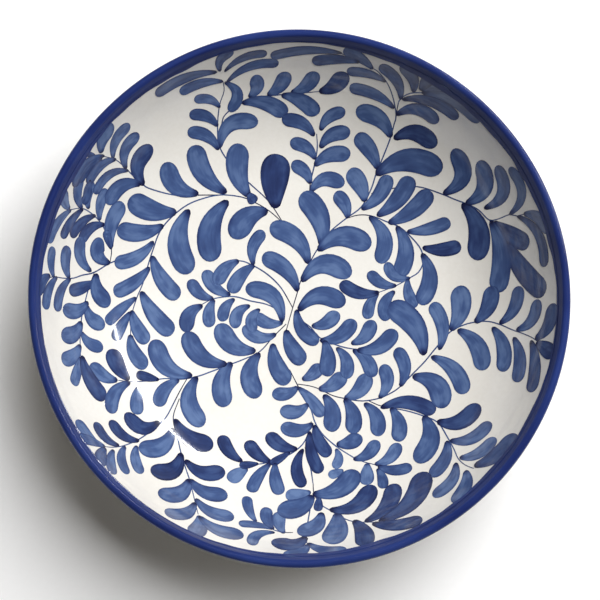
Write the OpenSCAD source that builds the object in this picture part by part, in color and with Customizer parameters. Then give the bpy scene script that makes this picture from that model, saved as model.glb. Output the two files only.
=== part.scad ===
// Porcelain serving bowl, thrown on a wheel: a round clay body on a turned foot ring,
// covered inside and out by fired glaze coats, with a cobalt band over the lip.
// Millimetres. +Z is up, and the origin is the centre of the circle that the foot stands on.
//
// Every layer of the wall is one curve moved outwards by a depth t. At t = 0 it is the glazed
// surface that food touches, and t grows through the glaze and the clay to the outside.

/* [Bowl] */
// Diameter over the glazed lip
rim_d = 305; // [290:1:340]
// Radius of the shallow dish that forms the floor
dish_r = 350; // [300:5:500]
// Radius of the turn that carries the floor up into the wall
turn_r = 95; // [85:1:105]
// Lean of the upper wall, as an angle from the horizontal
wall_lean = 66; // [60:1:72]
// Length of the straight stretch of wall below the lip
wall_run = 12; // [10:0.5:16]
// Thickness of the fired clay
clay_t = 4.4; // [4:0.1:7]

/* [Glaze] */
// Thickness of each glaze coat
glaze_t = 0.35; // [0.2:0.05:0.6]
// How far the cobalt band runs down the inside of the wall
band_in = 4.5; // [2:0.5:9]
// How far the cobalt band runs down the outside of the wall
band_out = 8; // [2:0.5:9]

/* [Foot] */
// Outside diameter of the clay foot ring
foot_d = 124; // [110:1:130]
// Width of the foot ring
foot_w = 7; // [6:0.5:9]
// Height of the air gap between the table and the middle of the underside
foot_gap = 3; // [2.5:0.5:6]
// How far the outer edge of the foot ring is let into the clay of the floor
foot_let_in = 1; // [0.5:0.25:1.5]
// Chamfer on both edges of the face that the bowl stands on
foot_chamfer = 1.5; // [1:0.1:2]
// Bare height above the table that is wiped clean of glaze
foot_bare = 2.4; // [2.1:0.1:3]

/* [Hidden] */
$fn = 180;

// Neighbouring stretches of one layer overlap by this little, so that they fuse
// (degrees where they meet on an arc, millimetres where they meet on the wall).
lap = 0.05;
// How far a cutter reaches past what it cuts.
past = 1;

// Depths of the layers, and of the middle of the wall.
clay_in = glaze_t;
clay_out = clay_in + clay_t;
glaze_out = clay_out + glaze_t;
wall_mid = glaze_out / 2;

// Unit vectors of the upper wall: square out of its outer face, and up its slope.
wall_out = [sin(wall_lean), -cos(wall_lean)];
wall_up = [cos(wall_lean), sin(wall_lean)];

// The lip is a half circle on the end of the wall, and its edge stands at rim_d / 2. The centre
// of the turn follows from that, and the dish, which is centred on the axis, meets the turn
// where both slope by dish_end.
turn_to_lip = (turn_r + wall_mid) * wall_out + wall_run * wall_up;
turn_x = rim_d / 2 - glaze_out / 2 - turn_to_lip[0];
dish_end = asin(turn_x / (dish_r - turn_r));
dish_c = [0, foot_gap + glaze_out + dish_r];
turn_c = below(dish_c, dish_r - turn_r, dish_end);
lip_c = turn_c + turn_to_lip;

foot_r = foot_d / 2;
well_r = foot_r - foot_w;
foot_top = under_z(foot_r) + foot_let_in;

// The point at distance d from a centre, in the direction that is angle a away from straight down.
function below(centre, d, a) = centre + d * [sin(a), -cos(a)];

// Height of the clay's underside at radius r, where it is still part of the dish.
function under_z(r) = dish_c[1] - sqrt(pow(dish_r + clay_out, 2) - r * r);

// The strip between two concentric arcs, from angle a0 to angle a1 away from straight down.
module arc_band(centre, r0, r1, a0, a1) {
    reach = 1.5 * r1;
    intersection() {
        translate(centre) difference() {
            circle(r = r1);
            circle(r = r0);
        }
        polygon([centre, below(centre, reach, a0), below(centre, reach, (a0 + a1) / 2),
                 below(centre, reach, a1)]);
    }
}

// The floor and the turn, between depths t0 and t1.
module bowl_curve(t0, t1) {
    arc_band(dish_c, dish_r + t0, dish_r + t1, 0, dish_end);
    arc_band(turn_c, turn_r + t0, turn_r + t1, dish_end - lap, wall_lean);
}

// The straight wall between depths t0 and t1, from s0 to s1 above the end of the turn.
module wall_band(t0, t1, s0, s1) {
    corner = turn_c + (turn_r + t0) * wall_out + s0 * wall_up;
    across = (t1 - t0) * wall_out;
    along = (s1 - s0) * wall_up;
    polygon([corner, corner + across, corner + across + along, corner + along]);
}

// The straight wall between depths t0 and t1, from s0 up to the half circle of the lip.
module lipped_wall(t0, t1, s0) {
    lip_r = (t1 - t0) / 2;
    difference() {
        wall_band(t0, t1, s0, wall_run + lip_r + past);
        difference() {
            wall_band(t0 - past, t1 + past, wall_run, wall_run + lip_r + 2 * past);
            translate(lip_c) circle(r = lip_r);
        }
    }
}

// Everything from radius r0 to radius r1, for parting the outer coat at the foot.
module between(r0, r1) {
    translate([r0, -rim_d]) square([r1 - r0, 2 * rim_d]);
}

// Glaze on an upright face of the foot ring, from foot_bare up to the clay's underside.
module foot_coat(r0) {
    difference() {
        translate([r0, foot_bare]) square([glaze_t, foot_top]);
        translate(dish_c) circle(r = dish_r + clay_out);
    }
}

module clay_body() {
    color("wheat") rotate_extrude() difference() {
        union() {
            bowl_curve(clay_in, clay_out);
            lipped_wall(clay_in, clay_out, -lap);
        }
        translate([well_r, 0]) square([foot_w, foot_top]);
    }
}

module foot_ring() {
    color("tan") rotate_extrude() polygon([
        [well_r, foot_chamfer],
        [well_r + foot_chamfer, 0],
        [foot_r - foot_chamfer, 0],
        [foot_r, foot_chamfer],
        [foot_r, foot_top],
        [well_r, foot_top]
    ]);
}

module inner_glaze() {
    color("ivory") rotate_extrude() {
        bowl_curve(0, clay_in);
        wall_band(0, clay_in, -lap, wall_run - band_in);
    }
}

module outer_glaze() {
    color("ivory") rotate_extrude() {
        intersection() {
            bowl_curve(clay_out, glaze_out);
            between(foot_r, rim_d);
        }
        wall_band(clay_out, glaze_out, -lap, wall_run - band_out);
        foot_coat(foot_r);
    }
}

module foot_well_glaze() {
    color("ivory") rotate_extrude() {
        intersection() {
            bowl_curve(clay_out, glaze_out);
            between(0, well_r);
        }
        foot_coat(well_r - glaze_t);
    }
}

module rim_band() {
    color("midnightblue") rotate_extrude() difference() {
        lipped_wall(0, glaze_out, 0);
        lipped_wall(clay_in, clay_out, -past);
        wall_band(-past, wall_mid, -past, wall_run - band_in);
        wall_band(wall_mid, glaze_out + past, -past, wall_run - band_out);
    }
}

clay_body();
foot_ring();
inner_glaze();
outer_glaze();
foot_well_glaze();
rim_band();
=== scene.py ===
"""Looks of the porcelain serving bowl: glazes, the painted foliage, soft light and the camera.

The foliage is painted with strokes on a flat map of the inner face. The map's middle is the middle
of the bowl's floor, x runs right and y runs up in the photograph's view, and distance from the
middle is measured along the glaze, all in millimetres. Each stroke is a closed sheet on the glaze.
"""
import math
import random

import bpy
from mathutils import Matrix, Vector


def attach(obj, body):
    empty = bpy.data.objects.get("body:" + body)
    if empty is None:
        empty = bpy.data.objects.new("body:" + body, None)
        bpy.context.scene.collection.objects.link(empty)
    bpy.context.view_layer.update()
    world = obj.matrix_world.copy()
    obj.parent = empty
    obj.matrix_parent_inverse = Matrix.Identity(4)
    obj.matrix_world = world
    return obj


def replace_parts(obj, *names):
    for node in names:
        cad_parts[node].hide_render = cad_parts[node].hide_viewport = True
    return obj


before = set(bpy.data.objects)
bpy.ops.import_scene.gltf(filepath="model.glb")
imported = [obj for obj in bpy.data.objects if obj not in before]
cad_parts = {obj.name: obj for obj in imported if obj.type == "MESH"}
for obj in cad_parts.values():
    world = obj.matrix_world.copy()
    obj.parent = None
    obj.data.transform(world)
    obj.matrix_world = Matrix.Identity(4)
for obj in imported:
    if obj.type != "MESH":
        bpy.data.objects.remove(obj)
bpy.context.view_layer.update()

MM = 0.001

# ---- the inner face of the bowl, in mm, with the driving sizes of part.scad ----
RIM_D = 305
DISH_R = 350
TURN_R = 95
WALL_LEAN = math.radians(66)
WALL_RUN = 12
CLAY_T = 4.4
GLAZE_T = 0.35
BAND_IN = 4.5
BAND_OUT = 8
FOOT_GAP = 3

# What follows from them. Vectors are (radius, height): OUTWARD is square to the straight wall, and
# UPWARD runs along it.
SHELL_T = CLAY_T + 2 * GLAZE_T
LIP_R = SHELL_T / 2
OUTWARD = Vector((math.sin(WALL_LEAN), -math.cos(WALL_LEAN)))
UPWARD = Vector((math.cos(WALL_LEAN), math.sin(WALL_LEAN)))
TURN_TO_LIP = (TURN_R + LIP_R) * OUTWARD + WALL_RUN * UPWARD
TURN_X = RIM_D / 2 - LIP_R - TURN_TO_LIP.x
DISH_END = math.asin(TURN_X / (DISH_R - TURN_R))
DISH_Z = FOOT_GAP + SHELL_T + DISH_R
TURN_C = Vector((TURN_X, DISH_Z - (DISH_R - TURN_R) * math.cos(DISH_END)))
LIP_C = TURN_C + TURN_TO_LIP

# Distances along the glaze, from the middle of the floor to the end of each part of its curve.
DISH_RUN = DISH_R * DISH_END
TURN_RUN = DISH_RUN + TURN_R * (WALL_LEAN - DISH_END)
WALL_TOP = TURN_RUN + WALL_RUN
LIP_RUN = WALL_TOP + math.pi * LIP_R

# Strokes that would run on to the lip are eased to an end inside the band.
EASE_FROM = 172
EASE_ROOM = 3


def glaze_curve(run):
    """The place (radius, height) and slope of the glaze at a distance along it, over the lip too."""
    if run < DISH_RUN:
        slope = run / DISH_R
        return Vector((DISH_R * math.sin(slope), DISH_Z - DISH_R * math.cos(slope))), slope
    if run < TURN_RUN:
        slope = DISH_END + (run - DISH_RUN) / TURN_R
        return TURN_C + TURN_R * Vector((math.sin(slope), -math.cos(slope))), slope
    if run < WALL_TOP:
        return LIP_C - LIP_R * OUTWARD - (WALL_TOP - run) * UPWARD, WALL_LEAN
    slope = WALL_LEAN - min((run - WALL_TOP) / LIP_R, math.pi)
    lip = LIP_C + LIP_R * Vector((-math.sin(slope), math.cos(slope)))
    return lip - max(run - LIP_RUN, 0) * UPWARD, slope


def on_bowl(run, out, lift):
    """The place in metres, and the normal, at a distance run along the glaze in the direction out.

    The place is lifted off the glaze by lift, in mm.
    """
    (radius, height), slope = glaze_curve(run)
    normal = Vector((-math.sin(slope) * out.x, -math.sin(slope) * out.y, math.cos(slope)))
    return (Vector((radius * out.x, radius * out.y, height)) + lift * normal) * MM, normal


def on_map(point, lift):
    """The same for a point of the painter's map, eased to an end inside the band."""
    over = max(point.length - EASE_FROM, 0)
    run = min(point.length, EASE_FROM) + EASE_ROOM * (1 - math.exp(-over / EASE_ROOM))
    return on_bowl(run, point.normalized(), lift)


def spoke(angle):
    """The direction on the map, and seen from above the bowl, at an angle from +X."""
    return Vector((math.cos(angle), math.sin(angle)))


# ---- the painter's strokes: listed one by one, in mm on the map ----
# A stem is the points its line passes through. A leaf is (base x, base y, tip x, tip y, bow,
# width, tone): bow is how far it bends to the left of the way to its tip, as a part of its length.
# A tone is how dark a stroke is, and a leaf that names none is MID. THIN is the tone of the stems,
# and of many leaves high on the wall.
DARK, MID, PALE, THIN = 0.8, 0.5, 0.32, 0.62

FRONDS = {
    "trunk": {
        "stems": [
            [
                (-6, -14), (-2, 0), (1, 10), (3, 17), (8, 27), (13, 36), (20, 46), (30, 54.5),
                (40, 62), (46, 73), (49, 82), (54, 94), (58, 104), (61, 114), (62.5, 120),
                (61, 132), (58, 142), (53, 150), (48, 154), (36, 160), (27, 165),
            ],
            [
                (62.5, 120), (64, 127), (66, 131.5), (73, 136), (84, 137), (95, 135),
            ],
        ],
        "leaves": [
            (1.5, -2, 29.5, 1.5, 0.28, 10.5), (3.5, 16, 33, 19, 0.32, 11.5),
            (13.5, 35, 45, 36.5, 0.26, 12), (15.5, 38, 2.5, 69.5, -0.16, 12.5),
            (7.5, 27, -16.5, 49, -0.19, 11), (1, 10, -21, 31, -0.155, 9.5),
            (-8.5, -9, -31, 11, -0.27, 9.5), (31.5, 55, 23.5, 70.5, -0.13, 8),
            (42, 65, 32, 84.5, -0.1, 10), (40, 60.5, 56.5, 81.5, -0.125, 8.5),
            (50, 85, 36.5, 106.5, -0.09, 9.5), (49, 81.5, 90.5, 83.5, 0.2, 14),
            (58.5, 105, 36.5, 121.5, -0.2, 11), (60.5, 104, 87, 99, 0.26, 11, DARK),
            (61.5, 124.5, 32.5, 138, -0.105, 7.5), (62.5, 120, 90, 115.5, 0.25, 8.5),
            (57, 143.5, 31, 150, -0.1, 6.5, THIN), (66, 131, 53, 156, -0.18, 8, THIN),
            (75, 137, 68, 158, -0.19, 9, THIN), (48.5, 153, 29, 168, -0.08, 8, THIN),
            (40, 158, 8, 157, -0.07, 7.5, THIN), (28, 165, -20, 161, -0.075, 7, THIN),
            (67, 131, 105, 119.5, 0.146, 8, DARK), (81, 137, 121.5, 118.5, 0.14, 10, THIN),
            (81, 138.5, 103, 142, 0.12, 7, THIN), (80, 139, 90, 152, 0, 8, THIN),
        ],
    },
    "spiral_right": {
        "stems": [
            [
                (31, 55), (38, 57), (46, 56.5), (55, 53), (64, 49), (72, 41.5), (76.7, 35),
                (78, 28), (75, 21.5), (69.5, 18), (61.5, 13.5), (51, 9.5),
            ],
        ],
        "leaves": [
            (49.5, 56.5, 70.5, 80.5, -0.1, 10), (56.5, 52, 82.8, 71.5, -0.09, 10),
            (68, 46.5, 95, 52.5, -0.06, 7.5), (77.5, 36.7, 101.5, 37.5, -0.09, 8, DARK),
            (44.7, 56, 50.5, 27.5, 0.23, 9), (61.5, 50, 62, 19, 0.18, 9.5),
            (70, 18, 56, 28, 0.27, 6), (61.5, 13.5, 45, 22.5, 0.17, 6.5),
            (51, 9.5, 27.5, 16, 0.15, 7.5, DARK), (50.5, 9, 44, -7, -0.13, 6.5),
            (60.5, 10, 56, -8, -0.22, 7.5), (77, 33, 75, 2, 0.19, 9.5),
            (68.5, 17.5, 73.5, 0, -0.12, 6.5),
        ],
    },
    "sprig_top": {
        "stems": [
            [
                (8, 70), (8.5, 77), (11, 88), (12.5, 98), (12, 107),
            ],
        ],
        "leaves": [
            (8.5, 76, -3.5, 88, -0.16, 7.5), (8.5, 71, 29, 75, 0.29, 8.5),
            (11.5, 91, -4.5, 101, -0.17, 7.5), (11, 87, 33, 93.5, 0.17, 9),
            (10.5, 105.5, -10, 115.5, -0.17, 8), (14.5, 98, 33, 107.5, 0.2, 8.5),
            (14.5, 109, 30, 121.5, 0.18, 7.5),
        ],
    },
    "arch_top": {
        "stems": [
            [
                (-48, 97), (-48, 112), (-46, 119), (-37, 126), (-25, 130.5), (-10, 132.5),
                (5, 134), (14, 135),
            ],
        ],
        "leaves": [
            (-48.5, 97, -25, 113, 0.33, 9.5), (-36, 126.5, -7.5, 118.5, 0.145, 9.5),
            (-11, 132, 12, 119, 0.12, 9.5), (-32, 130.5, -30, 146, -0.25, 8.5),
            (-20, 132, -9, 149, -0.14, 9), (-5, 134, 10, 149.5, -0.17, 9),
            (13, 135, 29, 150, -0.17, 10.5, DARK),
        ],
    },
    "top_left": {
        "stems": [
            [
                (-8, 52), (-17, 65), (-28, 75), (-38, 84), (-48, 97), (-50.5, 110), (-50.5, 125),
                (-48.5, 135), (-50, 142),
            ],
        ],
        "leaves": [
            (-49, 96, -70, 107, -0.17, 7.5), (-50.5, 111, -70, 118.5, -0.16, 7),
            (-50, 123.5, -68, 129, -0.17, 6), (-50, 142, -79, 134.5, -0.1, 7),
            (-55, 149.5, -97, 134, -0.1, 8, THIN), (-49, 141.5, -44, 121, 0.34, 7),
            (-47.5, 141, -14, 155, 0.16, 6.5, THIN), (-50, 149.5, -22.5, 163.5, 0.15, 6, THIN),
            (-53, 150, -46, 166, 0.29, 7, THIN),
        ],
    },
    "arch_left": {
        "stems": [
            [
                (-8, 52), (-17, 59.5), (-26, 64.5), (-34, 67.5), (-46, 68.5), (-56, 66.5),
                (-67, 62), (-77, 54), (-84, 45), (-88, 34), (-91, 24), (-94, 13), (-98, 3),
                (-101, -8), (-101.5, -19),
            ],
        ],
        "leaves": [
            (-12.5, 61, -11.5, 94, 0.05, 16, DARK), (-29, 68, -35, 100, 0.145, 12.5),
            (-43, 70, -64, 99, 0.15, 11.5), (-60.5, 69, -81.5, 88, 0.23, 11),
            (-17.5, 59, -37, 41.5, -0.21, 13), (-42, 65, -50.5, 28, -0.185, 13),
            (-66, 59, -64.5, 20.5, -0.19, 12.5), (-74, 57.5, -105, 65, 0.115, 12.5),
            (-82, 49, -112, 46, 0.13, 10), (-88, 39, -113, 24.5, 0.13, 8),
            (-90, 23, -113, 6, 0.08, 8), (-88.5, 30, -71.5, 5, -0.09, 9.5),
            (-95, 8, -75, -17, -0.07, 10), (-98, 4, -117.5, -13.5, -0.03, 6.5),
            (-101.5, -5, -112, -23.5, -0.03, 6.5), (-101, -4, -90.5, -23.5, -0.07, 8.5),
            (-101.5, -19, -91, -38.5, -0.14, 9), (-30, 70, -25.5, 64, 0, 6, DARK),
        ],
    },
    "left_upper": {
        "stems": [
            [
                (-46, 68.5), (-60, 68), (-75, 67.5), (-90, 70.5), (-97, 73.5), (-108, 82),
                (-118, 89), (-130, 92),
            ],
        ],
        "leaves": [
            (-96, 73, -92.5, 97.5, 0.3, 10.5, DARK), (-98, 73.5, -120, 60, -0.23, 9.5),
            (-107.5, 82, -131, 66.5, -0.2, 6, THIN), (-118, 89.5, -138, 73, -0.17, 7, THIN),
            (-129.5, 90.5, -146, 74, -0.15, 7, THIN), (-109.5, 83, -103.5, 106, 0.25, 8),
            (-120.5, 90, -112, 113, 0.2, 8), (-131, 94, -126, 114, 0.19, 11),
            (-136.5, 93, -146, 94, 0, 3.5, DARK), (-128, 92, -150, 71, -0.22, 7, THIN),
            (-137, 76, -140, 60, 0.1, 6, THIN),
        ],
    },
    "left_middle": {
        "stems": [
            [
                (-116, 24), (-115.5, 33), (-120, 43), (-127, 51), (-139, 57), (-151, 56),
            ],
        ],
        "leaves": [
            (-115.5, 33, -109, 61.5, 0.15, 9.5), (-115.5, 32.5, -120.5, 44, 0, 5, DARK),
            (-125, 50, -122, 70, 0.12, 7), (-134.5, 57, -134, 75, 0.15, 7.5),
            (-140, 57, -145, 78, 0.17, 7.5), (-151, 56.5, -160, 70, 0.15, 8),
            (-121, 47.5, -138.5, 35, -0.19, 7, DARK), (-128.5, 53, -146.5, 38, -0.13, 6.5, DARK),
            (-139, 57, -155, 37, -0.08, 6.5, DARK), (-149.5, 56, -168, 33, -0.115, 7),
        ],
    },
    "left_lower": {
        "stems": [
            [
                (-90, 36), (-99, 30), (-108, 27), (-116, 24), (-127, 17.5), (-136, 15),
                (-143, 12.5), (-152, 11.7), (-160, 11.7), (-169, 9.5),
            ],
        ],
        "leaves": [
            (-116, 24, -123, 39, 0.37, 9.5), (-129, 18, -138, 39, 0.22, 8),
            (-146, 12, -149, 32.5, 0.14, 8), (-160, 11, -163, 31, 0.13, 7),
            (-126, 12, -146, 4, 0.04, 7.5, DARK), (-145, 12, -156, -10.5, -0.14, 7),
            (-157, 12, -168, -11, -0.12, 7.5), (-164, 12, -177, -3, -0.15, 9, THIN),
            (-125, 17, -115, -1, -0.22, 10),
        ],
    },
    "left_tail": {
        "stems": [
            [
                (-127, 17), (-131, 6), (-134, -5), (-136, -14), (-137, -26), (-137, -38),
            ],
        ],
        "leaves": [
            (-131, -1, -151, -7, 0.2, 9), (-132, -3, -118.5, -14, -0.24, 9),
            (-136, -14, -153, -25, 0.2, 10), (-136, -20.5, -120, -28, -0.2, 7.5),
            (-137, -29, -154, -42, 0.14, 9), (-136, -36, -120, -62.5, -0.1, 10.5, DARK),
            (-137, -37, -145, -57.5, 0.02, 7),
        ],
    },
    "swirl": {
        "stems": [
            [
                (-2, 0), (-9, 12), (-17, 20), (-26, 25.5), (-35, 28.5), (-45, 25),
            ],
            [
                (-8, -9), (-11, -2), (-18, 2), (-28, 4), (-38, 6.5), (-50, 5), (-58, 1),
            ],
        ],
        "leaves": [
            (-8, -9, -25.5, -4, 0.17, 7), (-22, -1, -25, -15, -0.27, 6.5),
            (-28, 1, -36.5, -13, -0.25, 7), (-37.5, 5, -44.5, -9, -0.17, 6.5),
            (-50, 4.5, -52, -12.5, -0.13, 7), (-57, 0.5, -66, -16, -0.24, 8.5),
            (-50.5, 5, -64.5, 16.5, 0.18, 7), (-40, 7.5, -55, 22.5, 0.18, 7.5),
            (-35, 28.5, -48.5, 13.5, -0.14, 8), (-25.5, 26, -39.5, 8.5, -0.11, 8),
            (-26, 26, -19.5, 46.5, 0.18, 7),
        ],
    },
    "south_west": {
        "stems": [
            [
                (-6, -10), (-14, -18), (-22, -27), (-32, -32), (-42, -36), (-52, -40), (-60, -43),
                (-70, -45), (-80, -45), (-90, -47), (-101, -48.5), (-110, -48.5),
            ],
        ],
        "leaves": [
            (0.5, -1, 14, -21, -0.18, 8), (-6, -13.5, 5, -34, -0.09, 9.5),
            (-14, -22, -4.5, -46.5, -0.11, 10), (-22, -28, -22.5, -55, -0.23, 10.5),
            (-39, -34, -42, -61, -0.185, 10.5), (-60, -43, -56, -73, -0.24, 10.5),
            (-71, -45.5, -84, -63, -0.16, 8), (-63, -42.5, -85.5, -21, 0.24, 11),
            (-42, -35, -66, -15.5, 0.22, 10.5), (-24.5, -26.5, -46, -10, 0.23, 11),
            (-12, -16, -31.5, -11, 0.25, 7.5), (-83.5, -46, -98, -43.5, 0, 5.5, DARK),
            (-102, -49, -116, -71.5, -0.18, 8.5), (-96.5, -51, -98, -69.5, -0.05, 8),
            (-102.5, -47.5, -114, -29, 0.1, 10.5, DARK), (-110.5, -48.5, -129, -40, 0.13, 9),
        ],
    },
    "west_branch": {
        "stems": [
            [
                (-66, -44), (-71, -53), (-76, -63), (-80, -70), (-86, -76), (-94, -83),
                (-101, -88), (-110, -93), (-118, -96), (-128, -98),
            ],
        ],
        "leaves": [
            (-84, -72.5, -105.5, -69, 0.33, 9.5, DARK), (-98, -87, -117, -76, 0.2, 7.5, DARK),
            (-113, -93.5, -129, -80, 0.2, 7.5, DARK), (-130, -96.5, -146, -83, 0.1, 9.5),
            (-75.5, -76, -99, -92, 0.22, 11), (-100, -91, -99.5, -112, -0.12, 7.5),
            (-108.5, -93, -110.5, -115.5, -0.155, 7), (-118, -98, -123, -120, -0.09, 7.5),
            (-124.5, -98.5, -133, -116, -0.08, 9, THIN),
            (-124.5, -97.5, -148, -98, -0.05, 7.5, THIN),
        ],
    },
    "south_west_branch": {
        "stems": [
            [
                (-71, -57), (-75, -69), (-73, -80), (-71, -92), (-68.5, -103), (-66.5, -112),
                (-65, -125), (-64, -138),
            ],
        ],
        "leaves": [
            (-74, -70, -50.5, -84.5, -0.2, 10.5, DARK), (-71, -92, -92.5, -107, 0.27, 11, DARK),
            (-68.5, -96.5, -44.5, -101, -0.25, 9.5, DARK), (-67, -110, -90, -125.5, 0.22, 11),
            (-66.5, -110, -43.5, -118, -0.22, 10), (-65, -128, -88.5, -142.5, 0.2, 9.5),
            (-64, -124.5, -40.5, -135.5, -0.2, 9.5), (-63.5, -139.5, -36, -151.5, -0.2, 11.5),
            (-63.5, -139, -73, -161, 0.13, 11),
        ],
    },
    "south_stem": {
        "stems": [
            [
                (-4, -38), (1, -48), (5, -55), (9, -63), (11, -70), (15, -77), (22, -84),
                (30, -90), (38, -95), (48, -98.5),
            ],
        ],
        "leaves": [
            (1, -49, 16, -67, 0.05, 7), (1, -48.5, -14.5, -52, 0.17, 7.5),
            (7, -59, -9.5, -62, 0.22, 8), (10, -71, -9, -72, 0.21, 8),
            (24, -84, 38.5, -78.5, -0.14, 8.5), (34, -94, 48, -82, -0.19, 7.5),
            (47, -98, 61, -84.5, -0.19, 7.5, PALE), (49, -99, 70, -101, -0.14, 7),
            (48.5, -101, 52, -115.5, 0.1, 6), (42.5, -97, 42, -112, 0, 8, PALE),
            (23.5, -87, 22, -99.5, 0.2, 5.5, PALE), (28, -101, 19, -105, 0, 5.5, PALE),
            (11, -72, 20, -91.5, -0.09, 7.5, DARK),
        ],
    },
    "south_left": {
        "stems": [
            [
                (9, -70), (5, -82), (-2, -89), (-10, -93), (-18, -96), (-30, -98),
            ],
            [
                (5, -86), (8, -98), (9.5, -110),
            ],
        ],
        "leaves": [
            (8, -76, 14.5, -102.5, -0.09, 7, DARK), (4, -87, 4, -112, -0.17, 7, DARK),
            (0.5, -87, -17, -77, 0.16, 8, DARK), (-15.5, -95.5, -29.5, -82, 0.12, 7.5, DARK),
            (-33, -95.5, -45, -79, 0.14, 7.5, DARK), (-30, -100, -41.5, -109.5, -0.05, 8, PALE),
            (-23.3, -96.7, -35, -98.3, 0, 4.5, DARK), (-16, -96.5, -28.5, -116.5, -0.08, 7),
            (-13, -96, -10.5, -117.5, -0.07, 7.5), (-4, -89, -16, -97, 0, 4.5, DARK),
        ],
    },
    "south_east": {
        "stems": [
            [
                (1, -2), (4, -8), (9, -12), (14, -18), (20, -21), (28, -24), (36, -25.5),
                (45, -26),
            ],
        ],
        "leaves": [
            (9.5, -11, 25, -2, -0.17, 8), (14.5, -20, 35, -7, -0.18, 8.5),
            (33.5, -22, 46, -7.5, -0.19, 8), (37, -26, 60, -13.5, -0.19, 9),
            (17, -20, 17.5, -42, 0.1, 9), (24.5, -24.5, 29.5, -43.5, 0.2, 7.5),
            (34.5, -26, 46, -43, 0.16, 8),
        ],
    },
    "east": {
        "stems": [
            [
                (1, -47), (8, -48), (14, -50), (22, -54), (30, -56), (40, -57.5), (50, -56),
                (58, -52.5), (63, -49), (68, -44), (72, -40), (78, -34), (83, -28), (90, -20),
                (94, -16), (100, -13), (108, -11), (118, -11), (127, -14), (135, -18), (142, -21),
                (150, -25), (156, -29), (165, -32),
            ],
        ],
        "leaves": [
            (3.5, -44, 15, -34.5, -0.12, 7.5), (13.5, -50, 29, -40, -0.14, 8.5),
            (29, -56, 43, -40.5, -0.165, 9), (50, -56, 52, -35.5, -0.21, 7.5),
            (63, -49, 60.5, -25.5, -0.18, 7.5), (77.5, -30, 56.5, 1, -0.16, 13),
            (87, -27, 82.5, 2, -0.155, 8), (16.5, -53.5, 19.5, -76, 0.17, 9.5),
            (29, -56, 33, -77.5, 0.16, 9), (41, -59, 48, -79.5, 0.2, 8.5),
            (57, -62, 60.5, -83.5, 0.16, 8.5), (70.5, -43, 88, -64, 0.27, 12),
            (82, -31, 102.5, -56, 0.16, 9.5), (94, -15, 99, 12, -0.16, 11.5),
            (109.5, -11, 121, 11, -0.155, 10), (126, -13, 140, 9.5, -0.17, 8.5),
            (138, -18.5, 154.5, -0.5, -0.23, 8.5), (153, -26.5, 168.5, -5, -0.2, 11),
            (154, -29, 171, -41, 0, 10, DARK), (149.5, -27, 151.5, -63.5, 0.09, 9.5, THIN),
            (136, -23, 139, -53.5, 0.12, 9), (121, -15, 128, -44.5, 0.15, 9.5),
            (98.5, -15, 114.5, -42, 0.17, 10.5),
        ],
    },
    "south_east_rim": {
        "stems": [
            [
                (44, -57.5), (52, -61), (66, -64), (77, -68), (86, -73), (92, -83), (97, -93),
                (100, -100), (105, -106), (112, -111),
            ],
        ],
        "leaves": [
            (51, -62, 84, -66.5, 0.16, 8.5, DARK), (77, -68, 72, -98, 0.23, 12),
            (85.5, -72, 112, -63.5, -0.23, 11, DARK), (94, -86, 121, -77.5, -0.19, 9),
            (101, -99.5, 125.5, -90, -0.18, 9.5), (112, -108.5, 142, -92, -0.15, 14, THIN),
            (106, -111, 100, -138, 0.16, 11), (98.5, -103, 84.5, -126.5, 0.21, 9.5),
            (92, -86, 82, -110, 0.16, 9),
        ],
    },
    "east_top": {
        "stems": [
            [
                (46, 70), (58, 73), (75, 74), (91, 69), (98, 66), (106, 63), (114, 59),
                (121, 52.5), (128, 53), (136, 55.5), (142, 54.5), (148, 55.5), (158, 54),
            ],
            [
                (121, 52.5), (127, 46), (132, 38), (136, 30),
            ],
        ],
        "leaves": [
            (91, 69.5, 99, 98, -0.34, 11), (105.5, 63, 117, 91, -0.29, 11),
            (118, 60, 130, 88, -0.32, 9), (136, 55.5, 140, 87, -0.32, 7.5),
            (103, 63, 110, 28, 0.2, 13, DARK), (122, 52, 124, 7, 0.12, 12),
            (124, 51, 150, 35.5, -0.03, 11, DARK), (131, 42, 162, 3, -0.08, 13, DARK),
            (142, 54.5, 161.5, 20, 0.21, 7.5, THIN), (147.5, 55.5, 168, 42, 0.19, 9, THIN),
        ],
    },
    "foot_frond": {
        "stems": [
            [
                (9.5, -110), (10, -117), (14, -125), (20, -130), (27, -136), (34, -140),
                (45, -142), (52, -143),
            ],
        ],
        "leaves": [
            (9, -117, 35, -101, -0.2, 12), (19, -129, 45, -112, -0.25, 11, DARK),
            (41, -141, 58.5, -112.5, -0.18, 10.5, DARK), (50, -142, 77, -106, -0.19, 13.5, DARK),
            (46, -143, 79.5, -147, -0.1, 11, DARK), (34, -139, 41, -166.5, 0.12, 11.5, DARK),
            (23.5, -132, 18, -160, 0.1, 14), (14, -131, -1.5, -147.5, 0.22, 11),
            (13, -119, 12, -130, 0, 5, DARK), (8, -115.5, -7.5, -118, 0.05, 8, PALE),
            (9, -118, -13, -129, 0.17, 13),
        ],
    },
    "foot_curl": {
        "stems": [
            [
                (9, -118), (6, -136), (4, -150), (4.5, -160),
            ],
            [
                (-4, -148), (-10, -148), (-16, -146), (-26, -141),
            ],
        ],
        "leaves": [
            (-9.5, -149, -11, -131, 0.12, 7.5, PALE), (-16, -145.5, -18.5, -127.5, 0.15, 7),
            (-26.5, -139.5, -31, -119.5, 0.09, 6), (-16, -145.5, -38, -142.5, -0.08, 5.5),
            (-15.5, -148.5, -31, -163.5, -0.27, 7), (4, -152, -17.5, -156, 0.3, 12, DARK),
            (5, -160, -12, -172.5, 0.2, 9), (5, -158.5, 30, -168, -0.17, 9),
        ],
    },
}

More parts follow.
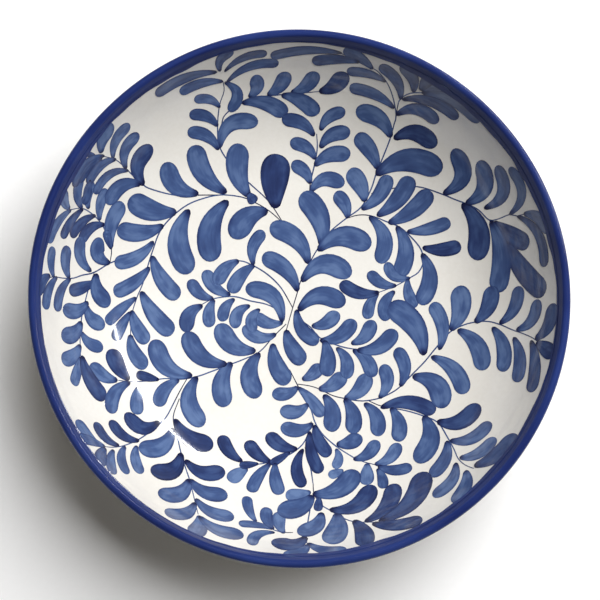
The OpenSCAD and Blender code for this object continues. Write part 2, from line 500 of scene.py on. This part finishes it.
# The painted band's lower edge, as a distance along the glaze, every 15 degrees from +X.
BAND_EDGE = [
    173.2, 171.5, 171.0, 170.5, 170.0, 172.0, 174.5, 173.5, 172.0, 173.0, 170.5, 172.0,
    174.5, 175.2, 174.5, 174.8, 175.0, 173.8, 171.5, 170.5, 171.8, 171.0, 172.5, 173.4,
]
# The upper edge of the wash, hidden in the dark of the band.
BAND_TOP = 175.2


# ---- strokes as closed sheets, in mm ----
# The CAD facets stand up to 0.08 mm off the true curve, so the strokes are lifted clear of them.
# Leaves differ in lift, so that two that cross don't share a surface. STROKE_SINK is how far the
# underside of every stroke goes below the true curve.
STROKE_LIFT = 0.16
LIFT_SPREAD = 0.07
STEM_LIFT = 0.12
WASH_LIFT = 0.26
STROKE_SINK = 0.02

# How finely the sheets are cut, along and across.
LEAF_STATIONS = 18
LEAF_ACROSS = 6
STEM_STEP = 2.5
STEM_ACROSS = 2
WASH_STATIONS = 360
WASH_ACROSS = 4

# A leaf's outline, as shares of its length: where it is widest, how long its round end may be at
# the most, and how fast it spreads where the brush touches down.
WIDEST = 0.70
ROUND_END_MOST = 0.35
TOUCH_DOWN = 0.03

# The rest of it, as shares of its width, which FULLNESS raises first. ROUND_END is a length too.
FULLNESS = 1.14
START_WIDTH = 0.24
TOUCH_LEAST = 0.3
TIP_LEAST = 0.02
ROUND_END = 0.55

# The powers that fill out its belly and its tip.
BELLY_POWER = 0.95
TIP_POWER = 2.2

# A stem's width, and the share of it that is left at the ends.
STEM_WIDTH = 0.85
STEM_END = 0.6

# The ragged edge of the band's wash: heights in mm, and rates in radians for each station, of a
# fine ripple that fades in and out, and of a swell. WASH_MARGIN is added on both sides.
RIPPLE = 0.35
RIPPLE_RATE = 0.9
RIPPLE_FADE_RATE = 0.17
SWELL = 0.25
SWELL_RATE = 0.41
WASH_MARGIN = 0.2


def make_piece(name, places, faces, normals, material):
    """A smooth object that rides on the bowl, shaded with the normals of the true curve."""
    mesh = bpy.data.meshes.new(name)
    mesh.from_pydata(places, [], faces)
    mesh.polygons.foreach_set("use_smooth", [True] * len(mesh.polygons))
    mesh.normals_split_custom_set_from_vertices(normals)
    mesh.materials.append(material)
    piece = bpy.data.objects.new(name, mesh)
    bpy.context.collection.objects.link(piece)
    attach(piece, "root")
    return piece


class Paint:
    """Gathers strokes into one mesh.

    Each vertex is marked (along, across, tone, seed): its place along and across its own stroke,
    the stroke's tone, and a random number of the stroke's own.
    """

    def __init__(self):
        self.places = []
        self.normals = []
        self.faces = []
        self.brush = []

    def ring(self, centre, side, half, across, lift, marks):
        """One cross-section: over the top from one edge to the other, and back underneath."""
        along, tone, seed = marks
        first = len(self.places)
        top = [(2 * k / across - 1, lift) for k in range(across + 1)]
        under = [(v, -STROKE_SINK) for v, _ in reversed(top)]
        for v, height in top + under:
            place, normal = on_map(centre + side * half * v, height)
            self.places.append(place)
            self.normals.append(normal)
            self.brush.append((along, 0.5 + 0.5 * v, tone, seed))
        return list(range(first, len(self.places)))

    def stroke(self, path, halves, across, tone, closed=False, lift=None):
        """A closed sheet along a path of map points, as wide as halves says at each of them."""
        seed = random.random()
        if lift is None:
            lift = STROKE_LIFT + LIFT_SPREAD * seed
        rings = []
        last = len(path) - 1
        for k, centre in enumerate(path):
            before = path[k - 1] if k or closed else path[0]
            after = path[(k + 1) % len(path)] if k < last or closed else path[last]
            way = (after - before).normalized()
            side = Vector((-way.y, way.x))
            marks = (k / last, tone, seed)
            rings.append(self.ring(centre, side, halves[k], across, lift, marks))
        pairs = list(zip(rings, rings[1:]))
        if closed:
            pairs.append((rings[-1], rings[0]))
        else:
            self.faces.append(rings[0])
            self.faces.append(rings[-1][::-1])
        for here, there in pairs:
            for k in range(len(here)):
                n = (k + 1) % len(here)
                self.faces.append((here[n], here[k], there[k], there[n]))

    def piece(self, name, material):
        """Makes the painted object, with the marks that its material reads."""
        piece = make_piece(name, self.places, self.faces, self.normals, material)
        brush = piece.data.attributes.new("brush", "FLOAT_COLOR", "POINT")
        for item, marks in zip(brush.data, self.brush):
            item.color = marks


def leaf_half_width(u, round_end):
    """Half the width of a leaf of width 1: a blunt start, a full belly and a round end."""
    belly = math.sin(math.pi / 2 * min(u / WIDEST, 1)) ** BELLY_POWER
    body = START_WIDTH + (1 - START_WIDTH) * belly
    closing = max(u - 1 + round_end, 0) / round_end
    tip = max((1 - closing ** TIP_POWER) ** (1 / TIP_POWER), TIP_LEAST)
    start = min(1, u / TOUCH_DOWN + TOUCH_LEAST)
    return 0.5 * body * tip * start


def paint_leaf(paint, base_x, base_y, tip_x, tip_y, bow, width, tone=MID):
    """One comma stroke: down at the base, pressed out, and lifted at the round end."""
    base, tip = Vector((base_x, base_y)), Vector((tip_x, tip_y))
    chord = tip - base
    crown = (base + tip) / 2 + 2 * bow * Vector((-chord.y, chord.x))
    width *= FULLNESS
    round_end = min(ROUND_END * width / chord.length, ROUND_END_MOST)
    path, halves = [], []
    for k in range(LEAF_STATIONS):
        u = (1 - math.cos(math.pi * k / (LEAF_STATIONS - 1))) / 2
        path.append((1 - u) ** 2 * base + 2 * u * (1 - u) * crown + u ** 2 * tip)
        halves.append(width * leaf_half_width(u, round_end))
    paint.stroke(path, halves, LEAF_ACROSS, tone)


def smooth_line(points, step):
    """A Catmull-Rom curve through the points, in even steps."""
    p = [Vector(q) for q in points]
    p = [2 * p[0] - p[1]] + p + [2 * p[-1] - p[-2]]
    path = []
    for a, b, c, d in zip(p, p[1:], p[2:], p[3:]):
        pieces = max(2, round((c - b).length / step))
        for k in range(pieces):
            t = k / pieces
            path.append(0.5 * (2 * b + (c - a) * t + (2 * a - 5 * b + 4 * c - d) * t ** 2
                               + (3 * b - a - 3 * c + d) * t ** 3))
    return path + [p[-2]]


def paint_stem(paint, points):
    """A thin line, a little fuller in the middle than at its ends."""
    path = smooth_line(points, STEM_STEP)
    last = len(path) - 1
    halves = []
    for k in range(last + 1):
        share = STEM_END + (1 - STEM_END) * math.sin(math.pi * k / last)
        halves.append(0.5 * STEM_WIDTH * share)
    paint.stroke(path, halves, STEM_ACROSS, THIN, lift=STEM_LIFT)


def wash_edge(k):
    """The lower edge of the band's wash at a station: BAND_EDGE smoothly joined up, and ragged."""
    turn = k * len(BAND_EDGE) / WASH_STATIONS
    low = int(turn)
    t = turn % 1
    t = t * t * (3 - 2 * t)
    edge = BAND_EDGE[low] * (1 - t) + BAND_EDGE[(low + 1) % len(BAND_EDGE)] * t
    ripple = RIPPLE * math.sin(RIPPLE_RATE * k) * math.sin(RIPPLE_FADE_RATE * k)
    return edge + ripple + SWELL * math.sin(SWELL_RATE * k)


def paint_band_wash(paint):
    """The uneven lower edge of the rim's band, where the brush ran further down the wall."""
    path, halves = [], []
    for k in range(WASH_STATIONS):
        edge = wash_edge(k)
        path.append((edge + BAND_TOP) / 2 * spoke(2 * math.pi * k / WASH_STATIONS))
        halves.append((BAND_TOP - edge) / 2 + WASH_MARGIN)
    paint.stroke(path, halves, WASH_ACROSS, DARK, closed=True, lift=WASH_LIFT)


# ---- the cobalt coat over the lip ----
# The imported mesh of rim_band has triangles that cut across the lip and let the clay show, so this
# ring of the same section stands for it. It lies a hair inside the true curve and the CAD box.
BAND_SINK = 0.01
BAND_ROWS = 72
BAND_TURNS = 360


def turned_band(material):
    """The coat from the inner wall over the lip to the outer wall, as a closed ring."""
    start, end = WALL_TOP - BAND_IN, LIP_RUN + BAND_OUT
    runs = [start + (end - start) * k / BAND_ROWS for k in range(BAND_ROWS + 1)]
    section = [(run, -BAND_SINK, 1) for run in runs]
    section += [(run, -GLAZE_T, -1) for run in reversed(runs)]
    places, normals, faces = [], [], []
    for run, lift, facing in section:
        for k in range(BAND_TURNS):
            place, normal = on_bowl(run, spoke(2 * math.pi * k / BAND_TURNS), lift)
            places.append(place)
            normals.append(facing * normal)
    for row in range(len(section)):
        here = row * BAND_TURNS
        there = (row + 1) % len(section) * BAND_TURNS
        for k in range(BAND_TURNS):
            n = (k + 1) % BAND_TURNS
            faces.append((here + k, there + k, there + n, here + n))
    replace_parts(make_piece("rim_coat", places, faces, normals, material), "rim_band")


# ---- materials ----
class Nodes:
    """A new node material, and short ways to add nodes to it."""

    def __init__(self, name):
        self.material = bpy.data.materials.new(name)
        self.material.use_nodes = True
        self.tree = self.material.node_tree
        self.shader = self.tree.nodes["Principled BSDF"]
        self.position = self.add("TexCoord").outputs["Object"]

    def add(self, kind, settings=(), **inputs):
        """A new node of a kind, with its settings made and its inputs filled."""
        node = self.tree.nodes.new("ShaderNode" + kind)
        for key, value in dict(settings).items():
            setattr(node, key, value)
        for key, value in inputs.items():
            self.put(node.inputs[key], value)
        return node

    def put(self, socket, value):
        """Sets a socket to a value, or links it to another node's output."""
        if isinstance(value, bpy.types.NodeSocket):
            self.tree.links.new(value, socket)
        else:
            socket.default_value = value

    def fill(self, node, values):
        """Fills a node's inputs in their order, and returns its first output."""
        for socket, value in zip(node.inputs, values):
            self.put(socket, value)
        return node.outputs[0]

    def calc(self, operation, *values):
        """One step of arithmetic."""
        return self.fill(self.add("Math", {"operation": operation}), values)

    def total(self, *parts):
        """The sum of the parts, each a (weight, value)."""
        result = 0.0
        for weight, value in parts:
            result = self.calc("MULTIPLY_ADD", value, weight, result)
        return result

    def stretched(self, values, factors):
        """A vector of three values, each times its own factor."""
        scaled = [self.calc("MULTIPLY", *pair) for pair in zip(values, factors)]
        return self.fill(self.add("CombineXYZ"), scaled)

    def between(self, value, span, to=(0.0, 1.0)):
        """A smooth step of a value, from the range span to the range to."""
        node = self.add("MapRange", {"interpolation_type": "SMOOTHSTEP"})
        return self.fill(node, (value, *span, *to))

    def noise(self, vector, scale, detail=2.0, roughness=0.5):
        """Cloudy noise round the middle value 0.5."""
        return self.add("TexNoise", Vector=vector, Scale=scale, Detail=detail,
                        Roughness=roughness).outputs[0]

    def ramp(self, value, stops):
        """The colour at a value, between stops of (position, colour)."""
        node = self.add("ValToRGB", Fac=value)
        elements = node.color_ramp.elements
        while len(elements) < len(stops):
            elements.new(1.0)
        for element, (position, colour) in zip(elements, stops):
            element.position = position
            element.color = (*colour, 1.0)
        return node.outputs[0]

    def bump(self, height, strength, distance):
        """The normal of a rough surface, for a distance in metres."""
        return self.add("Bump", Height=height, Strength=strength, Distance=distance).outputs[0]

    def finish(self, colour, roughness, normal=None, **constants):
        """The material, with its shader joined to colour, roughness and normal."""
        self.put(self.shader.inputs["Base Color"], colour)
        self.put(self.shader.inputs["Roughness"], roughness)
        if normal is not None:
            self.put(self.shader.inputs["Normal"], normal)
        for key, value in constants.items():
            self.shader.inputs[key.replace("_", " ")].default_value = value
        return self.material


# Colours, as linear light: the stops of each ramp, as (position, colour).
COBALT = [
    (0.00, (0.125, 0.195, 0.370)),
    (0.30, (0.057, 0.100, 0.240)),
    (0.60, (0.027, 0.047, 0.143)),
    (1.00, (0.009, 0.012, 0.050)),
]
BAND_COBALT = [(0.0, (0.023, 0.044, 0.185)), (1.0, (0.007, 0.013, 0.082))]
TIN_WHITE = [(0.0, (0.84, 0.82, 0.77)), (1.0, (0.77, 0.74, 0.68))]
CLAY_TAN = [(0.0, (0.72, 0.64, 0.55)), (1.0, (0.56, 0.47, 0.38))]
PAPER_WHITE = [(0.0, (0.93, 0.93, 0.93)), (1.0, (0.96, 0.96, 0.96))]

# The spans of a noise, and of a sum of a cloud and a grain, that are spread over a whole range.
# Positions are in metres, so the scale of a noise laid out by position is its cells in a metre.
NOISE_SPAN = (0.3, 0.7)
CLOUD_SPAN = (0.3, 0.8)

# How far a stroke's seed carries it off through the noise, to a place of its own.
SEED_SPREAD = 91.0

# How a stroke's tone becomes depth of colour: times the gain, from the start.
TONE_GAIN = 0.95
TONE_START = -0.42


def glazed(nodes, colour, shine=0.5, blur=0.085):
    """A glossy fired surface: very slight waves and pits under a clear, smooth coat.

    shine is the strength of its reflection, and blur is the roughness of it.
    """
    waves = nodes.noise(nodes.position, scale=45.0)
    pits = nodes.noise(nodes.position, scale=900.0)
    normal = nodes.bump(nodes.total((1.0, waves), (0.02, pits)), strength=0.3, distance=0.0004)
    patches = nodes.noise(nodes.position, scale=120.0)
    roughness = nodes.between(patches, (0.35, 0.65), to=(blur, 1.6 * blur))
    return nodes.finish(colour, roughness, normal, Specular_IOR_Level=shine,
                        Coat_Weight=shine / 2, Coat_Roughness=blur / 2)


def white_glaze(name):
    """Warm tin white, a little deeper where the glaze is thick."""
    nodes = Nodes(name)
    cloud = nodes.noise(nodes.position, scale=14.0, detail=3.0)
    specks = nodes.noise(nodes.position, scale=420.0, detail=1.0)
    depth = nodes.total((0.8, cloud), (0.25, specks))
    return glazed(nodes, nodes.ramp(nodes.between(depth, CLOUD_SPAN), TIN_WHITE))


def brushed_cobalt(name):
    """Watery cobalt: pale along the belly of a stroke, pooled dark at its edges, base and tip."""
    nodes = Nodes(name)
    marks = nodes.add("Attribute", {"attribute_name": "brush"})
    along, across, tone = nodes.add("SeparateColor", Color=marks.outputs["Color"]).outputs
    seed = marks.outputs["Alpha"]

    off_axis = nodes.calc("ABSOLUTE", nodes.calc("MULTIPLY_ADD", across, 2.0, -1.0))
    edge = nodes.between(off_axis, (0.66, 0.97))
    base = nodes.between(along, (0.06, 0.27), to=(1.0, 0.0))
    tip = nodes.between(along, (0.76, 0.98))

    hairs_at = nodes.stretched((along, across, seed), (1.6, 6.0, SEED_SPREAD))
    hairs = nodes.between(nodes.noise(hairs_at, scale=1.4, detail=3.0, roughness=0.6), NOISE_SPAN)
    pools_at = nodes.stretched((along, across, seed), (2.4, 1.3, SEED_SPREAD))
    pools = nodes.between(nodes.noise(pools_at, scale=1.5), (0.32, 0.68))
    blots = nodes.between(nodes.noise(nodes.position, scale=110.0), NOISE_SPAN)

    own_depth = nodes.calc("SUBTRACT", seed, 0.5)
    tone_depth = nodes.calc("MULTIPLY_ADD", tone, TONE_GAIN, TONE_START)
    deep = nodes.total((0.75, base), (0.20, edge), (0.14, tip), (0.09, hairs), (0.26, pools),
                       (0.08, blots), (0.14, own_depth), (1.0, tone_depth))
    return glazed(nodes, nodes.ramp(deep, COBALT))


def banded_cobalt(name):
    """Full cobalt laid round the rim on the wheel, in long fine streaks, with a softer shine."""
    nodes = Nodes(name)
    place = nodes.add("SeparateXYZ", Vector=nodes.position).outputs
    streaks_at = nodes.stretched(place, (14.0, 14.0, 900.0))
    streaks = nodes.between(nodes.noise(streaks_at, scale=1.0, detail=3.0), NOISE_SPAN)
    cloud = nodes.between(nodes.noise(nodes.position, scale=30.0, detail=3.0), NOISE_SPAN)
    deep = nodes.total((0.35, cloud), (0.45, streaks))
    return glazed(nodes, nodes.ramp(deep, BAND_COBALT), shine=0.3, blur=0.16)


def bare_clay(name):
    """Unglazed biscuit, fine-grained and dull."""
    nodes = Nodes(name)
    grain = nodes.noise(nodes.position, scale=1400.0, detail=4.0, roughness=0.7)
    cloud = nodes.noise(nodes.position, scale=60.0, detail=3.0)
    depth = nodes.total((0.6, cloud), (0.5, grain))
    colour = nodes.ramp(nodes.between(depth, CLOUD_SPAN), CLAY_TAN)
    roughness = nodes.between(grain, NOISE_SPAN, to=(0.62, 0.85))
    return nodes.finish(colour, roughness, nodes.bump(grain, strength=0.5, distance=0.0003))


def pale_floor(name):
    """Matt studio paper."""
    nodes = Nodes(name)
    tooth = nodes.noise(nodes.position, scale=300.0)
    return nodes.finish(nodes.ramp(tooth, PAPER_WHITE), roughness=0.9)


CAD_LOOKS = {
    "clay_body": bare_clay("clay"),
    "foot_ring": bare_clay("foot"),
    "inner_glaze": white_glaze("glaze_inner"),
    "outer_glaze": white_glaze("glaze_outer"),
    "foot_well_glaze": white_glaze("glaze_well"),
    "rim_band": banded_cobalt("cobalt_band"),
}
for node_name, look in CAD_LOOKS.items():
    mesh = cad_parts[node_name].data
    mesh.materials.clear()
    mesh.materials.append(look)

turned_band(CAD_LOOKS["rim_band"])

# ---- the painting ----
PAINT_SEED = 7
random.seed(PAINT_SEED)
brushed = brushed_cobalt("cobalt_brushed")
for frond_name, frond in FRONDS.items():
    paint = Paint()
    for points in frond["stems"]:
        paint_stem(paint, points)
    for leaf in frond["leaves"]:
        paint_leaf(paint, *leaf)
    paint.piece("frond_" + frond_name, brushed)

wash = Paint()
paint_band_wash(wash)
wash.piece("band_wash", CAD_LOOKS["rim_band"])

# ---- floor, light and camera, in metres ----
FLOOR_HALF = 3.0
FLOOR_CORNERS = ((-1, -1), (1, -1), (1, 1), (-1, 1))
floor_mesh = bpy.data.meshes.new("floor")
floor_mesh.from_pydata([(FLOOR_HALF * x, FLOOR_HALF * y, 0) for x, y in FLOOR_CORNERS],
                       [], [(0, 1, 2, 3)])
floor_mesh.materials.append(pale_floor("studio_paper"))
floor = bpy.data.objects.new("floor", floor_mesh)
bpy.context.collection.objects.link(floor)


def direction(azimuth, elevation):
    """A unit vector: azimuth turns from +X towards +Y, and elevation rises from the floor."""
    a, e = math.radians(azimuth), math.radians(elevation)
    return Vector((math.cos(a) * math.cos(e), math.sin(a) * math.cos(e), math.sin(e)))


def soft_light(name, azimuth, elevation, away, wide, high, watts, mirrored):
    """A softbox turned to the bowl, which either lights it or is only mirrored in its glaze."""
    light = bpy.data.lights.new(name, "AREA")
    light.shape = "RECTANGLE"
    light.size = wide
    light.size_y = high
    light.energy = watts
    lamp = bpy.data.objects.new(name, light)
    lamp.location = away * direction(azimuth, elevation)
    lamp.rotation_euler = (-lamp.location).to_track_quat("-Z", "Y").to_euler()
    lamp.visible_glossy = mirrored
    lamp.visible_diffuse = not mirrored
    bpy.context.collection.objects.link(lamp)


soft_light("strip", azimuth=38, elevation=30, away=1.5, wide=1.1, high=0.03, watts=8,
           mirrored=True)
soft_light("overhead", azimuth=50, elevation=60, away=1.8, wide=1.3, high=1.3, watts=50,
           mirrored=False)

ROOM_COLOUR = (1.0, 0.92, 0.80, 1.0)
ROOM_STRENGTH = 0.06
world = bpy.data.worlds.new("studio")
world.use_nodes = True
backdrop = world.node_tree.nodes["Background"]
backdrop.inputs["Color"].default_value = ROOM_COLOUR
backdrop.inputs["Strength"].default_value = ROOM_STRENGTH
bpy.context.scene.world = world
bpy.context.scene.view_settings.view_transform = "Standard"

# The camera leans back from straight above by CAMERA_TILT, towards the azimuth CAMERA_SIDE. It
# looks at a point level with the lip, with +Y at the top of the picture.
CAMERA_TILT = 7.5
CAMERA_SIDE = 250
CAMERA_AWAY = 0.815
CAMERA_LENS = 87.15
CAMERA_SENSOR = 36
AIM = Vector((-0.82, -4.12, LIP_C.y)) * MM
camera_data = bpy.data.cameras.new("camera")
camera_data.lens = CAMERA_LENS
camera_data.sensor_width = CAMERA_SENSOR
camera = bpy.data.objects.new("camera", camera_data)
towards = direction(CAMERA_SIDE, 90 - CAMERA_TILT)
camera.location = AIM + CAMERA_AWAY * towards
right = (-towards).cross(Vector((0, 1, 0))).normalized()
up = right.cross(-towards)
camera.rotation_mode = "QUATERNION"
camera.rotation_quaternion = Matrix((right, up, towards)).transposed().to_quaternion()
bpy.context.collection.objects.link(camera)
bpy.context.scene.camera = camera
